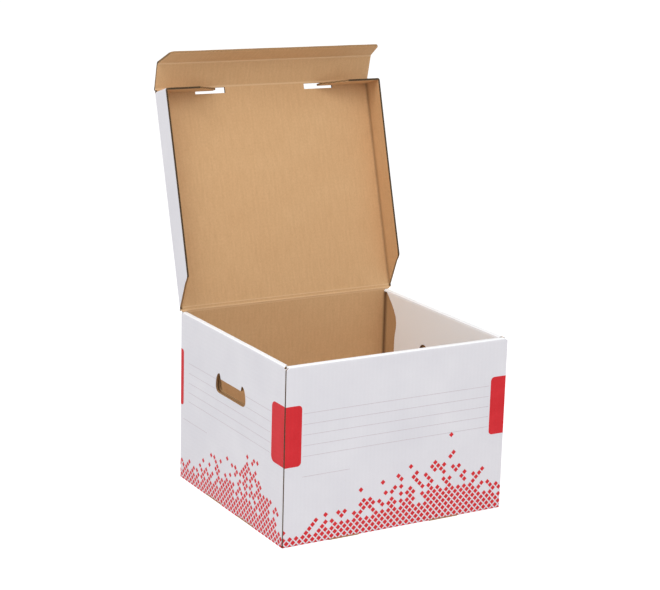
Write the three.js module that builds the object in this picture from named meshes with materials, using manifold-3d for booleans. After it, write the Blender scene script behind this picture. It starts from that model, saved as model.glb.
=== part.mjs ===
// Archive transport box: a die-cut sheet of corrugated board folded into an open tray with
// doubled walls, and a lid that hinges on the back wall and closes with a front flap and a tuck flap.
// Millimetres, X along the front, Y to the back, Z up, origin at the middle of the tray's underside.

import * as THREE from 'three';
import { mergeVertices } from 'three/addons/utils/BufferGeometryUtils.js';
import Module from 'manifold-3d';

const wasm = await Module();
wasm.setup();

// Board and folds
const BOARD = 3;
const SLIT = 0.2;
const FOLD_INNER_RADIUS = 0.4;
const FOLD_STEPS = 5;
const CUT_MARGIN = 2;
const TOUCH = 0.1;
const WELD = 1e-5;

// Tray
const TRAY_WIDTH = 367;
const TRAY_DEPTH = 330;
const TRAY_HEIGHT = 263;
const TRAPPED_CLEARANCE = 0.4;
const BACK_FLAP_LENGTH = 75;
const FRONT_TAB_LENGTH = 75;
const CORNER_NOTCH_WIDTH = 5;
const CORNER_NOTCH_DEPTH = 4;

// Relief at the rear end of each side wall's inner ply
const RELIEF_TOP = 12;
const RELIEF_DEEP = 43;
const RELIEF_DROP = 44;
const RELIEF_FOOT = 39;
const RELIEF_FOOT_DROP = 76;
const RELIEF_EASE = 16;

// Hand holes in the side walls
const HOLE_LENGTH = 94;
const HOLE_HEIGHT = 22;
const HOLE_BOTTOM = 170;
const HOLE_OFFSET = 2;
const HORN_RISE = 8;
const HORN_WIDTH = 6;
const HORN_INSET = 11;
const HORN_BACK = 4;
const HORN_ROOT = 1.8;
const HOLE_CORNER = 10;
const HOLE_CORNER_RUN = 12;
const TONGUE_HEIGHT = 20;
const TONGUE_SQUEEZE = 0.05;
const LOBE_RADIUS = 12;
const LOBE_INSET = 9;
const LOBE_RISE = 19;
const LOBE_STEPS = 28;

// Lock tabs at the foot of the doubled walls
const LOCK_LENGTH = 50;
const LOCK_CLEARANCE = 0.5;
const FRONT_LOCK_SPACING = 169;
const SIDE_LOCK_SPACING = 100;
const LOCK_MOUTH = 2.4;

// Lid
const LID_OPEN_ANGLE = 106.2;
const LID_REST_GAP = 0.3;
const LID_SIDE_CLEARANCE = 0.5;
const SIDE_FLAP_DEPTH = 41;
const SIDE_FLAP_RELIEF = 50;
const SIDE_FLAP_RELIEF_START = 5;
const SIDE_FLAP_SHOULDER = 9;
const SIDE_FLAP_SHOULDER_TURN = 2.7;
const HINGE_GAP = 0.3;
const HINGE_STEPS = 16;
const CREASE_GAP = 0.15;
const LID_FRONT_CLEARANCE = 0.5;
const CORNER_TAB_TIP = 92;
const CORNER_TAB_FULL = 130;
const CORNER_TAB_DEPTH = 38;
const CORNER_TAB_NOSE = 12;
const LID_SLOT_LENGTH = 51;
const LID_SLOT_WIDTH = 8.8;
const LID_SLOT_SPACING = 190;
const LID_SLOT_BRIDGE = 1.2;

// Front flap and tuck flap of the lid
const FRONT_FLAP_LENGTH = 41;
const FRONT_FLAP_BEND = 29;
const TUCK_FLAP_LENGTH = 38.4;
const TUCK_FLAP_BEND = 48;
const TUCK_FLAP_TAPER = 5;
const TUCK_FLAP_CORNER = 9;

// Places worked out from the sizes above
const halfWidth = TRAY_WIDTH / 2;
const halfDepth = TRAY_DEPTH / 2;
const plyGap = BOARD + TRAPPED_CLEARANCE;
const wallThickness = 2 * BOARD + plyGap;
const foldMidRadius = FOLD_INNER_RADIUS + BOARD / 2;
const trappedHalfWidth = halfWidth - BOARD - SLIT;
const trappedTop = TRAY_HEIGHT - BOARD - SLIT;
const hingeY = halfDepth - BOARD / 2;
const hingeZ = TRAY_HEIGHT + LID_REST_GAP + BOARD / 2;
const hingeReach = BOARD / 2 + HINGE_GAP;
const lidHalfWidth = halfWidth + LID_SIDE_CLEARANCE + BOARD;
const tuckInset = BOARD + CREASE_GAP;
const cornerTabFront = tuckInset + HINGE_GAP;
const lidReach = hingeY + halfDepth + LID_FRONT_CLEARANCE + BOARD + cornerTabFront;

// Solids from three.js geometry
function toSolid(geometry, matrix) {
  const plain = geometry.clone();
  plain.deleteAttribute('normal');
  plain.deleteAttribute('uv');
  if (matrix) plain.applyMatrix4(matrix);
  const merged = mergeVertices(plain, WELD);
  return new wasm.Manifold(new wasm.Mesh({
    numProp: 3,
    vertProperties: new Float32Array(merged.attributes.position.array),
    triVerts: new Uint32Array(merged.index.array),
  }));
}

function toMesh(solid, name, colour) {
  const data = solid.getMesh();
  const geometry = new THREE.BufferGeometry();
  geometry.setAttribute('position', new THREE.BufferAttribute(new Float32Array(data.vertProperties), 3));
  geometry.setIndex(new THREE.BufferAttribute(new Uint32Array(data.triVerts), 1));
  geometry.computeVertexNormals();
  const material = new THREE.MeshStandardMaterial({ color: colour, roughness: 0.85, metalness: 0 });
  const mesh = new THREE.Mesh(geometry, material);
  mesh.name = name;
  return mesh;
}

// An axis triple says where a flat shape's right, up and thickness directions point
const alongX = new THREE.Matrix4().makeBasis(
  new THREE.Vector3(0, 1, 0), new THREE.Vector3(0, 0, 1), new THREE.Vector3(1, 0, 0));
const alongY = new THREE.Matrix4().makeBasis(
  new THREE.Vector3(1, 0, 0), new THREE.Vector3(0, 0, 1), new THREE.Vector3(0, -1, 0));
const alongZ = new THREE.Matrix4();

function slab(shape, directions, from, to) {
  const geometry = new THREE.ExtrudeGeometry(shape, {
    depth: to - from, bevelEnabled: false, curveSegments: FOLD_STEPS,
  });
  geometry.translate(0, 0, from);
  return toSolid(geometry, directions);
}

function block(low, high) {
  const size = new THREE.Vector3(high[0] - low[0], high[1] - low[1], high[2] - low[2]);
  const geometry = new THREE.BoxGeometry(size.x, size.y, size.z);
  geometry.translate(low[0] + size.x / 2, low[1] + size.y / 2, low[2] + size.z / 2);
  return toSolid(geometry);
}

function polygon(points) {
  return new THREE.Shape(points.map(([u, v]) => new THREE.Vector2(u, v)));
}

// The section of a folded board: a middle line whose corners are scored folds with an inner radius
function foldedSection(middle, midRadius = foldMidRadius) {
  const left = [];
  const right = [];
  const put = (point, normal) => {
    left.push(point.clone().addScaledVector(normal, BOARD / 2));
    right.push(point.clone().addScaledVector(normal, -BOARD / 2));
  };
  const corners = middle.map(([u, v]) => new THREE.Vector2(u, v));
  const normalOf = (direction) => new THREE.Vector2(-direction.y, direction.x);
  for (let i = 0; i < corners.length; i += 1) {
    const before = i > 0 ? corners[i].clone().sub(corners[i - 1]).normalize() : null;
    const after = i < corners.length - 1 ? corners[i + 1].clone().sub(corners[i]).normalize() : null;
    if (!before || !after) {
      put(corners[i], normalOf(before || after));
      continue;
    }
    const turn = before.angleTo(after) * Math.sign(before.cross(after));
    const setback = midRadius * Math.tan(Math.abs(turn) / 2);
    const start = corners[i].clone().addScaledVector(before, -setback);
    const centre = start.clone().addScaledVector(normalOf(before), Math.sign(turn) * midRadius);
    for (let step = 0; step <= FOLD_STEPS; step += 1) {
      const angle = turn * step / FOLD_STEPS;
      const spoke = start.clone().rotateAround(centre, angle);
      const heading = before.clone().rotateAround(new THREE.Vector2(), angle);
      put(spoke, normalOf(heading));
    }
  }
  return new THREE.Shape(left.concat(right.reverse()));
}

function mirrorX(solid) {
  return solid.mirror([1, 0, 0]);
}

function bothSides(solid) {
  return solid.add(mirrorX(solid));
}

// Floor, front wall and the front wall's inner ply, in one strip folded up and over
function frontStrip() {
  const foot = BOARD + SLIT;
  const outerY = -halfDepth + BOARD / 2;
  const innerY = outerY + BOARD + plyGap;
  const top = TRAY_HEIGHT - BOARD / 2;
  const outer = foldedSection([[halfDepth - BOARD, BOARD / 2], [outerY, BOARD / 2], [outerY, top],
    [outerY + foldMidRadius, top]]);
  const rolled = foldedSection([[outerY, top - wallThickness], [outerY, top], [innerY, top], [innerY, foot]]);
  const sheet = slab(outer, alongX, -halfWidth, halfWidth);
  const inner = slab(rolled, alongX, -trappedHalfWidth, trappedHalfWidth);
  const notch = slab(polygon([
    [-halfWidth - CUT_MARGIN, TRAY_HEIGHT - CORNER_NOTCH_DEPTH],
    [-halfWidth, TRAY_HEIGHT - CORNER_NOTCH_DEPTH],
    [-halfWidth + CORNER_NOTCH_WIDTH, TRAY_HEIGHT + SLIT],
    [-halfWidth - CUT_MARGIN, TRAY_HEIGHT + SLIT],
  ]), alongY, halfDepth - wallThickness, halfDepth + CUT_MARGIN);
  return sheet.add(inner).subtract(bothSides(notch));
}

// One side wall: outer ply, rolled top and inner ply, with its front tab folded in behind the front
function sideWall() {
  const outerX = halfWidth - BOARD / 2;
  const innerX = outerX - BOARD - plyGap;
  const top = TRAY_HEIGHT - BOARD / 2;
  const rearEnd = halfDepth;
  const frontEnd = -halfDepth + BOARD + SLIT;
  const section = foldedSection([[outerX - wallThickness * 2, BOARD / 2], [outerX, BOARD / 2],
    [outerX, top], [innerX, top], [innerX, BOARD + SLIT]]);
  let wall = slab(section, alongY, -rearEnd, -frontEnd);
  const frontRoom = block(
    [innerX - BOARD, frontEnd - CUT_MARGIN, BOARD + SLIT / 2],
    [halfWidth - BOARD, -halfDepth + wallThickness + SLIT, TRAY_HEIGHT + CUT_MARGIN]);
  wall = wall.subtract(frontRoom).subtract(innerPlyRelief());
  const tabY = -halfDepth + BOARD + SLIT + BOARD / 2;
  const tabSection = foldedSection([[outerX, tabY + wallThickness], [outerX, tabY],
    [halfWidth - FRONT_TAB_LENGTH, tabY]]);
  const foldClearance = block(
    [halfWidth - BOARD - SLIT, frontEnd - CUT_MARGIN, BOARD + SLIT / 2],
    [halfWidth + CUT_MARGIN, tabY + foldMidRadius, TRAY_HEIGHT + CUT_MARGIN]);
  const tab = slab(tabSection, alongZ, BOARD + SLIT, trappedTop);
  return wall.subtract(foldClearance).add(tab);
}

// The inner ply's rear end is cut back in a curve that leaves the back wall's flap open to view
function innerPlyRelief() {
  const shape = new THREE.Shape();
  const topZ = TRAY_HEIGHT - BOARD;
  const rear = halfDepth + CUT_MARGIN;
  shape.moveTo(rear, topZ);
  const deepY = halfDepth - RELIEF_DEEP;
  const footY = halfDepth - RELIEF_FOOT;
  shape.lineTo(halfDepth - RELIEF_TOP, topZ);
  shape.bezierCurveTo(
    halfDepth - RELIEF_TOP - RELIEF_EASE / 2, topZ - RELIEF_EASE / 2,
    deepY, topZ - RELIEF_DROP + RELIEF_EASE,
    deepY, topZ - RELIEF_DROP);
  shape.bezierCurveTo(
    deepY, topZ - RELIEF_DROP - RELIEF_EASE,
    footY, topZ - RELIEF_FOOT_DROP + RELIEF_EASE,
    footY, topZ - RELIEF_FOOT_DROP);
  shape.lineTo(footY, BOARD + SLIT);
  shape.lineTo(rear, BOARD + SLIT);
  return slab(shape, alongX, halfWidth - wallThickness - CUT_MARGIN, halfWidth - BOARD - SLIT);
}

// Back wall with its hinge bead on top and a flap folded forward between each side wall's plies
function backWall() {
  const wallY = halfDepth - BOARD / 2;
  const section = foldedSection([[wallY - wallThickness, BOARD / 2], [wallY, BOARD / 2], [wallY, hingeZ]]);
  const wall = slab(section, alongX, -trappedHalfWidth + foldMidRadius, trappedHalfWidth - foldMidRadius);
  const beadLength = 2 * (trappedHalfWidth - foldMidRadius);
  const bead = new THREE.CylinderGeometry(BOARD / 2, BOARD / 2, beadLength, HINGE_STEPS);
  bead.rotateZ(Math.PI / 2);
  bead.translate(0, hingeY, hingeZ);
  const flapX = trappedHalfWidth - BOARD / 2;
  const flapSection = foldedSection([[flapX - wallThickness, wallY], [flapX, wallY],
    [flapX, halfDepth - BACK_FLAP_LENGTH]]);
  const flap = slab(flapSection, alongZ, BOARD + SLIT, trappedTop);
  return wall.add(toSolid(bead)).add(bothSides(flap));
}

// A hand hole: a long slot whose cut ends rise in a horn beyond each end of the tongue's fold
function handHoleShape() {
  const half = HOLE_LENGTH / 2;
  const bottom = HOLE_BOTTOM;
  const fold = HOLE_BOTTOM + HOLE_HEIGHT;
  const hornTop = fold + HORN_RISE;
  const hornOuter = half - HORN_INSET;
  const shape = new THREE.Shape();
  shape.moveTo(-half + HOLE_CORNER_RUN, bottom);
  shape.lineTo(half - HOLE_CORNER_RUN, bottom);
  shape.quadraticCurveTo(half, bottom, half, bottom + HOLE_CORNER);
  shape.bezierCurveTo(half, fold, hornOuter + HORN_WIDTH, hornTop, hornOuter, hornTop);
  shape.quadraticCurveTo(hornOuter - HORN_ROOT, hornTop, hornOuter - HORN_BACK, fold);
  shape.lineTo(-hornOuter + HORN_BACK, fold);
  shape.quadraticCurveTo(-hornOuter + HORN_ROOT, hornTop, -hornOuter, hornTop);
  shape.bezierCurveTo(-hornOuter - HORN_WIDTH, hornTop, -half, fold, -half, bottom + HOLE_CORNER);
  shape.quadraticCurveTo(-half, bottom, -half + HOLE_CORNER_RUN, bottom);
  return shape;
}

// The inner ply's hole is rounder and longer at its ends than the outer ply's
function innerHoleLobe() {
  const inner = halfWidth - wallThickness;
  const lobe = new THREE.CylinderGeometry(
    LOBE_RADIUS, LOBE_RADIUS, BOARD + TOUCH + CUT_MARGIN, LOBE_STEPS);
  lobe.rotateZ(Math.PI / 2);
  lobe.translate(
    inner + (BOARD + TOUCH - CUT_MARGIN) / 2, HOLE_LENGTH / 2 - LOBE_INSET, HOLE_BOTTOM + LOBE_RISE);
  return toSolid(lobe);
}

function handHole() {
  const through = slab(
    handHoleShape(), alongX, halfWidth - wallThickness - CUT_MARGIN, halfWidth + CUT_MARGIN);
  const lobe = innerHoleLobe();
  return through.add(lobe).add(lobe.mirror([0, 1, 0])).translate([0, HOLE_OFFSET, 0]);
}

// The hole's tongue is folded in at the top edge and stands up between the two plies
function handHoleTongue() {
  const fold = HOLE_BOTTOM + HOLE_HEIGHT;
  const outerX = halfWidth - BOARD / 2;
  const tongueX = outerX - BOARD - TRAPPED_CLEARANCE / 2;
  const tightRadius = (outerX - tongueX) / 2 - TONGUE_SQUEEZE;
  const half = HOLE_LENGTH / 2 - HORN_INSET - HORN_WIDTH;
  const section = foldedSection([[outerX, fold + BOARD * 2], [outerX, fold + BOARD / 2],
    [tongueX, fold + BOARD / 2], [tongueX, fold + TONGUE_HEIGHT]], tightRadius);
  return slab(section, alongY, -HOLE_OFFSET - half, -HOLE_OFFSET + half);
}

// Slots along the floor's folds and the lock tabs of the inner plies that fill them
function lockPlaces() {
  const front = [-1, 1].map((side) => ({ along: side * FRONT_LOCK_SPACING / 2, wall: 'front' }));
  const sides = [-1, 1].map((side) => ({ along: side * SIDE_LOCK_SPACING / 2, wall: 'side' }));
  return front.concat(sides);
}

function lockBlock(place, inset, outset, half, low, high) {
  if (place.wall === 'front') {
    return block(
      [place.along - half, -halfDepth - outset, low],
      [place.along + half, -halfDepth + inset, high]);
  }
  return block(
    [halfWidth - inset, place.along - half, low],
    [halfWidth + outset, place.along + half, high]);
}

function addLocks(tray) {
  let result = tray;
  for (const place of lockPlaces()) {
    const mirrored = place.wall === 'side';
    const half = LOCK_LENGTH / 2;
    const slot = lockBlock(place, wallThickness + SLIT, CUT_MARGIN, half, -CUT_MARGIN, LOCK_MOUTH)
      .add(lockBlock(place, wallThickness + SLIT, -BOARD - SLIT, half, 0, BOARD + SLIT));
    const tab = lockBlock(place, wallThickness, -BOARD - plyGap, half - LOCK_CLEARANCE, SLIT, BOARD * 2);
    result = result.subtract(mirrored ? bothSides(slot) : slot).add(mirrored ? bothSides(tab) : tab);
  }
  return result;
}

function makeTray() {
  const side = sideWall().subtract(handHole()).add(handHoleTongue());
  const folded = frontStrip().add(bothSides(side)).add(backWall());
  return addLocks(folded);
}

// The lid is drawn closed: the hinge is at the origin, -Y runs to the front and the panel's middle is z 0
function lidPanel() {
  const edgeX = lidHalfWidth - BOARD / 2;
  const flapEnd = BOARD / 2 - SIDE_FLAP_DEPTH;
  const section = foldedSection([[-edgeX, flapEnd], [-edgeX, 0], [edgeX, 0], [edgeX, flapEnd]]);
  const front = lidReach - CREASE_GAP;
  const sideEnd = lidReach - cornerTabFront;
  const sheet = slab(section, alongY, hingeReach, front);
  const aheadOfTabs = block(
    [-lidHalfWidth - CUT_MARGIN, -front - CUT_MARGIN, -SIDE_FLAP_DEPTH - CUT_MARGIN],
    [lidHalfWidth + CUT_MARGIN, -sideEnd + foldMidRadius + BOARD / 2, -BOARD / 2 - HINGE_GAP]);
  return sheet.subtract(aheadOfTabs);
}

// Each side flap is cut away on a slant towards the hinge, with a rounded shoulder
function sideFlapRelief() {
  const low = BOARD / 2 - SIDE_FLAP_DEPTH - CUT_MARGIN;
  const foot = BOARD / 2 - SIDE_FLAP_DEPTH;
  const root = -BOARD / 2 - HINGE_GAP;
  const shape = new THREE.Shape();
  shape.moveTo(0, root);
  shape.lineTo(-SIDE_FLAP_RELIEF_START, root);
  shape.lineTo(-SIDE_FLAP_RELIEF + SIDE_FLAP_SHOULDER, foot + SIDE_FLAP_SHOULDER);
  shape.quadraticCurveTo(
    -SIDE_FLAP_RELIEF + SIDE_FLAP_SHOULDER_TURN, foot, -SIDE_FLAP_RELIEF - CUT_MARGIN, foot);
  shape.lineTo(-SIDE_FLAP_RELIEF - CUT_MARGIN, low);
  shape.lineTo(CUT_MARGIN, low);
  shape.lineTo(CUT_MARGIN, root);
  return slab(shape, alongX, -lidHalfWidth - CUT_MARGIN, lidHalfWidth + CUT_MARGIN);
}

// A corner tab folds in from the front end of a side flap and ends in a slanted nose
function cornerTab() {
  const edgeX = lidHalfWidth - BOARD / 2;
  const tabY = -(lidReach - cornerTabFront - BOARD / 2);
  const top = -BOARD / 2 - HINGE_GAP;
  const section = foldedSection([[edgeX, tabY + wallThickness], [edgeX, tabY], [CORNER_TAB_TIP, tabY]]);
  const strip = slab(section, alongZ, BOARD / 2 - SIDE_FLAP_DEPTH, top);
  const foot = top - CORNER_TAB_DEPTH;
  const away = polygon([
    [lidHalfWidth - wallThickness, foot - CUT_MARGIN * 2], [lidHalfWidth - wallThickness, foot],
    [CORNER_TAB_FULL, foot], [CORNER_TAB_TIP, top - CORNER_TAB_NOSE],
    [CORNER_TAB_TIP - CUT_MARGIN, foot - CUT_MARGIN * 2],
  ]);
  return strip.subtract(slab(away, alongY, -tabY - BOARD, -tabY + BOARD));
}

function lidSlots() {
  const front = lidReach - CREASE_GAP - LID_SLOT_BRIDGE;
  const slot = block(
    [(LID_SLOT_SPACING - LID_SLOT_LENGTH) / 2, -front, -BOARD],
    [(LID_SLOT_SPACING + LID_SLOT_LENGTH) / 2, -front + LID_SLOT_WIDTH, BOARD]);
  return bothSides(slot);
}

function makeLid() {
  return lidPanel().subtract(sideFlapRelief()).add(bothSides(cornerTab())).subtract(lidSlots());
}

// A crease flap is drawn flat ahead of its crease, which runs at the origin on the board's inner face
function creaseFlap(outline) {
  const outerFace = BOARD + CREASE_GAP;
  return slab(outline, alongZ, CREASE_GAP, outerFace);
}

function makeFrontFlap() {
  const half = lidHalfWidth - CREASE_GAP;
  return creaseFlap(polygon([
    [-half, -CREASE_GAP], [-half, -FRONT_FLAP_LENGTH + CREASE_GAP],
    [half, -FRONT_FLAP_LENGTH + CREASE_GAP], [half, -CREASE_GAP],
  ]));
}

function makeTuckFlap() {
  const root = lidHalfWidth - CREASE_GAP;
  const end = root - TUCK_FLAP_TAPER;
  const shape = new THREE.Shape();
  shape.moveTo(-root, -CREASE_GAP);
  shape.lineTo(-end, -TUCK_FLAP_LENGTH + TUCK_FLAP_CORNER);
  shape.quadraticCurveTo(-end, -TUCK_FLAP_LENGTH, -end + TUCK_FLAP_CORNER, -TUCK_FLAP_LENGTH);
  shape.lineTo(end - TUCK_FLAP_CORNER, -TUCK_FLAP_LENGTH);
  shape.quadraticCurveTo(end, -TUCK_FLAP_LENGTH, end, -TUCK_FLAP_LENGTH + TUCK_FLAP_CORNER);
  shape.lineTo(root, -CREASE_GAP);
  return creaseFlap(shape);
}

// The object: the tray stands still, the lid turns on the back wall, each flap on the one before it
const box = new THREE.Group();
box.add(toMesh(makeTray(), 'tray', 0xdddce2));

const lidPivot = new THREE.Group();
lidPivot.position.set(0, hingeY, hingeZ);
lidPivot.rotation.x = -THREE.MathUtils.degToRad(LID_OPEN_ANGLE);
lidPivot.add(toMesh(makeLid(), 'lid', 0xc39a6b));
box.add(lidPivot);

const flapPivot = new THREE.Group();
flapPivot.position.set(0, -lidReach, -BOARD / 2 - CREASE_GAP);
flapPivot.rotation.x = THREE.MathUtils.degToRad(FRONT_FLAP_BEND);
flapPivot.add(toMesh(makeFrontFlap(), 'lid_front_flap', 0xc09768));
lidPivot.add(flapPivot);

const tuckPivot = new THREE.Group();
tuckPivot.position.set(0, -FRONT_FLAP_LENGTH, 0);
tuckPivot.rotation.x = THREE.MathUtils.degToRad(TUCK_FLAP_BEND);
tuckPivot.add(toMesh(makeTuckFlap(), 'lid_tuck_flap', 0x9a7249));
flapPivot.add(tuckPivot);

export default box;
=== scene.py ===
"""Looks of the archive transport box: white and kraft faced corrugated board, folds, cut edges and print."""
import math
import random

import bmesh
import bpy
import numpy as np
from mathutils import Matrix, Vector, noise

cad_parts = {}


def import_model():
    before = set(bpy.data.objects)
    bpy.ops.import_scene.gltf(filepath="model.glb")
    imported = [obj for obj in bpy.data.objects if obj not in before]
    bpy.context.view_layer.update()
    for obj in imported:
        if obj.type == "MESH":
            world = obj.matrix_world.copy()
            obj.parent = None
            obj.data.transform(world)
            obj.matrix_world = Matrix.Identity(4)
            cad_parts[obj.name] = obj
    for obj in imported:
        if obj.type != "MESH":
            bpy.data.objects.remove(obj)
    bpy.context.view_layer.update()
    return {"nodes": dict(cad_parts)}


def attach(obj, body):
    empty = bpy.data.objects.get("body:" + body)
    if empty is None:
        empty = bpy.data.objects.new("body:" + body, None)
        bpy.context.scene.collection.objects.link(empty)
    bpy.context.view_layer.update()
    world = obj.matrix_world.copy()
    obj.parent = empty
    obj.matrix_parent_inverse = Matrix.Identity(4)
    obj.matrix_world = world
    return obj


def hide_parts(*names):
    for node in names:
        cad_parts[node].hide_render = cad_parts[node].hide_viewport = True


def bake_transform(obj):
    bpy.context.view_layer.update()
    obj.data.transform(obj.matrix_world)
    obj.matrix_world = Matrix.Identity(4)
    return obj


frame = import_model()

MM = 0.001

# Sizes of the board and the box, in millimetres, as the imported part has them
BOARD = 3.0
PLY_GAP = 0.2
HALF_WIDTH = 183.5
HALF_DEPTH = 165.0
TRAY_HEIGHT = 263.0
FOLD_RADIUS = 3.4
FOLD_STEPS = 5
HINGE = np.array([0.0, 163.5, 264.8])
LID_OPEN = -106.2
LID_REACH = 335.45
LID_HALF = 187.0
FLAP_HALF = LID_HALF - 0.15
TUCK_HALF = LID_HALF - 0.45
PIVOT_DROP = 1.65
FLAP_LENGTH = 41.0
FLAP_BEND = 29.0
TUCK_BEND = 48.0
CREASE_IN = 0.15
CREASE_OUT = 3.15
HINGE_REACH = 1.8
HINGE_SCORE = 5.2
FLUTE_PITCH = 6.6

# How far the crease strips reach on to the lid and on to the flaps
LID_STRIP = 1.3
FLAP_STRIP = 3.0


def layer(outside, number):
    """Where a ply of a doubled wall starts and ends. Layer 0 is the outside one."""
    end = outside - number * (BOARD + PLY_GAP)
    return end - BOARD, end


# Where the tray's plies lie: those of the sides are counted from the middle to either side
OUTER_PLY, BACK_FLAP_PLY, INNER_PLY = [layer(HALF_WIDTH, k) for k in range(3)]
FRONT_OUTER_PLY, FRONT_TAB_PLY, FRONT_INNER_PLY = [
    (-end, -start) for start, end in (layer(HALF_DEPTH, k) for k in range(3))]
BACK_PLY = layer(HALF_DEPTH, 0)
TONGUE_PLY = (177.0, 180.45)

# Where the regions end that tell one ply from the next
WITHIN_SIDES = OUTER_PLY[0] - 0.1
OUTER_START = FRONT_TAB_PLY[0] - 0.05
INNER_START = FRONT_INNER_PLY[1] + 0.1
BACK_FLAP_START = 85.0
FRONT_TAB_START = 100
FLOOR_TOP = BOARD + 0.3
FOOT_TOP = BOARD + 0.6
ROLL_FOOT = TRAY_HEIGHT - BOARD - 0.3
TAB_TOP = TRAY_HEIGHT - BOARD - 0.1
HOLE_HALF, HOLE_FOOT, HOLE_TOP, TONGUE_FOOT = 45, 165, 215, 188
LID_FRONT_PLY = (-332.0, -329.0)

# Cells that the large faces are cut into, so that the panels can bow
CELL = 11.0

# Slots at the foot of the walls, where the print stops and the cut ends of the lock tabs show
LOCK_MOUTH = 2.4
LOCK_HALF = 25.0
LOCK_DEPTH = 8.0
LOCK_SET_BACK = 0.25
LOCK_PLAY = 0.4
LOCK_FRAY = 0.12
FRONT_SLOTS = (-84.5, 84.5)
SIDE_SLOTS = (-50, 50)

# How far the panels bow, sag and ripple
FRONT_BOW, FRONT_RIPPLE = 0.75, 0.18
BACK_BOW = 0.7
SIDE_BOW, SIDE_RIPPLE = 0.8, 0.15
TOP_SAG = 0.22
LID_BOW, LID_RIPPLE = 0.9, 0.25
SIDE_FLAP_LEAN = 0.5
FLAP_RIPPLE = 0.35
SCORE_DENT = 0.35

# The strips across the creases: their dent outside, their two ridges inside, and their cells
DENT, DENT_WIDTH = 0.32, 0.17
RIDGE, RIDGE_WIDTH = 0.25, 0.09
RIDGE_PLACES = (0.2, 0.8)
STRIP_TURNS, STRIP_COLUMNS = 6, 34
STRIP_STEPS = (0.3, 0.6, 1.0)

# How far cuts and white faces are lightened, and inner folds darkened: painted light on some cut edges and
# white faces, and painted shade in the inner folds
FLAP_CUT_PAINTED_LIGHT, RIM_PAINTED_LIGHT, LOCK_PAINTED_LIGHT = 0.4, 0.8, 0.75
INNER_PAINTED_LIGHT = 1.0
BACK_FOLD_SHADE, FLAP_FOLD_SHADE, LID_FOLD_SHADE = 1.0, 0.32, 0.5

# The printed faces give way by this much, so that the ink lies on the board's real face
INK_ROOM = 0.06

# Print: the lattice of diamonds, the patches at the corners and the writing lines
PITCH = 10.4
FIRST_ROW, ROW, ROWS = 1.2, 5.5, 24
DIAMOND = 4.0
STRAY_RISE, STRAY_CHANCE = 1.2, 0.9
THIN_FROM, THIN_OVER = 0.26, 0.80
FRONT_SKYLINE = [(-184, 26), (-150, 32), (-110, 42), (-60, 56), (0, 66), (50, 88), (95, 108),
                 (115, 92), (145, 72), (165, 64), (184, 46)]
SIDE_SKYLINE = [(-165, 34), (-120, 44), (-70, 54), (-20, 70), (20, 80), (60, 104), (95, 92),
                (115, 80), (140, 62), (154, 30), (163, 12)]
PATCH_LOW, PATCH_HIGH = 118.0, 206.0
CORNER_STEPS = 8
LINE = 0.3
PRINT_FOOT = 0.2
SIDE_PRINT_END = 161.7
BACK_PRINT_END = 178.3
FRONT_RULE_END = 155
FRONT_RULE_HEIGHTS = (193.3, 177.6, 162.2, 146.7, 131.1)
FRONT_SHORT_RULE = (-155, -78, 101.5)
SIDE_RULE_ENDS = (-138.5, 121.5)
SIDE_RULE_HEIGHTS = (157.9, 143.0, 128.3)
SIDE_SHORT_RULE = (-156, -76, 97)
HOLE_RULE_HEIGHTS = (188.7, 173.3)
HOLE_ENDS = (-49.5, 45.5)

# Camera at the photograph's place: azimuth, elevation and roll in degrees, focal length in pixels
CAMERA_TURN = (-30.46, 14.003, 1.576)
CAMERA_PLACE = (-1320.901, -2209.336, 949.282)
CAMERA_FOCAL = 1797.524
IMAGE_WIDTH = 660
SENSOR = 36

# Name, place in metres, size in metres and power in watts
LAMPS = (("key", (-0.4, -2.4, 2.6), 2.2, 34), ("top", (-1.8, -0.5, 2.8), 1.6, 34))
LAMP_TARGET = (0, 0, 0.25)
WORLD_COLOUR, WORLD_STRENGTH = (1.0, 0.99, 0.98, 1), 0.56
FLOOR_COLOUR, FLOOR_GLOW, FLOOR_GLOW_LEAST = (0.62, 0.62, 0.63, 1), 0.7, 0.28

X, Y, Z = 0, 1, 2


# Places

def turn_x(degrees):
    """The matrix of a turn about X."""
    a = math.radians(degrees)
    return np.array([[1, 0, 0], [0, math.cos(a), -math.sin(a)], [0, math.sin(a), math.cos(a)]])


class Place:
    """A drawing frame: a point q drawn there lies at turn @ q + shift in the row frame."""

    def __init__(self, turn, shift):
        self.turn = np.array(turn, float)
        self.shift = np.array(shift, float)

    def out(self, q):
        return np.asarray(q, float) @ self.turn.T + self.shift

    def back(self, p):
        return (np.asarray(p, float) - self.shift) @ self.turn

    def child(self, degrees, shift):
        return Place(self.turn @ turn_x(degrees), self.out(np.array(shift, float)))


TRAY_PLACE = Place(np.eye(3), (0, 0, 0))
LID_PLACE = Place(turn_x(LID_OPEN), HINGE)
FLAP_PLACE = LID_PLACE.child(FLAP_BEND, (0, -LID_REACH, -PIVOT_DROP))
TUCK_PLACE = FLAP_PLACE.child(TUCK_BEND, (0, -FLAP_LENGTH, 0))


# Materials

def linear(r, g, b):
    """A colour given from 0 to 255 as the shader takes it."""
    def one(c):
        c /= 255.0
        return c / 12.92 if c <= 0.04045 else ((c + 0.055) / 1.055) ** 2.4
    return (one(r), one(g), one(b), 1.0)


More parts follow.
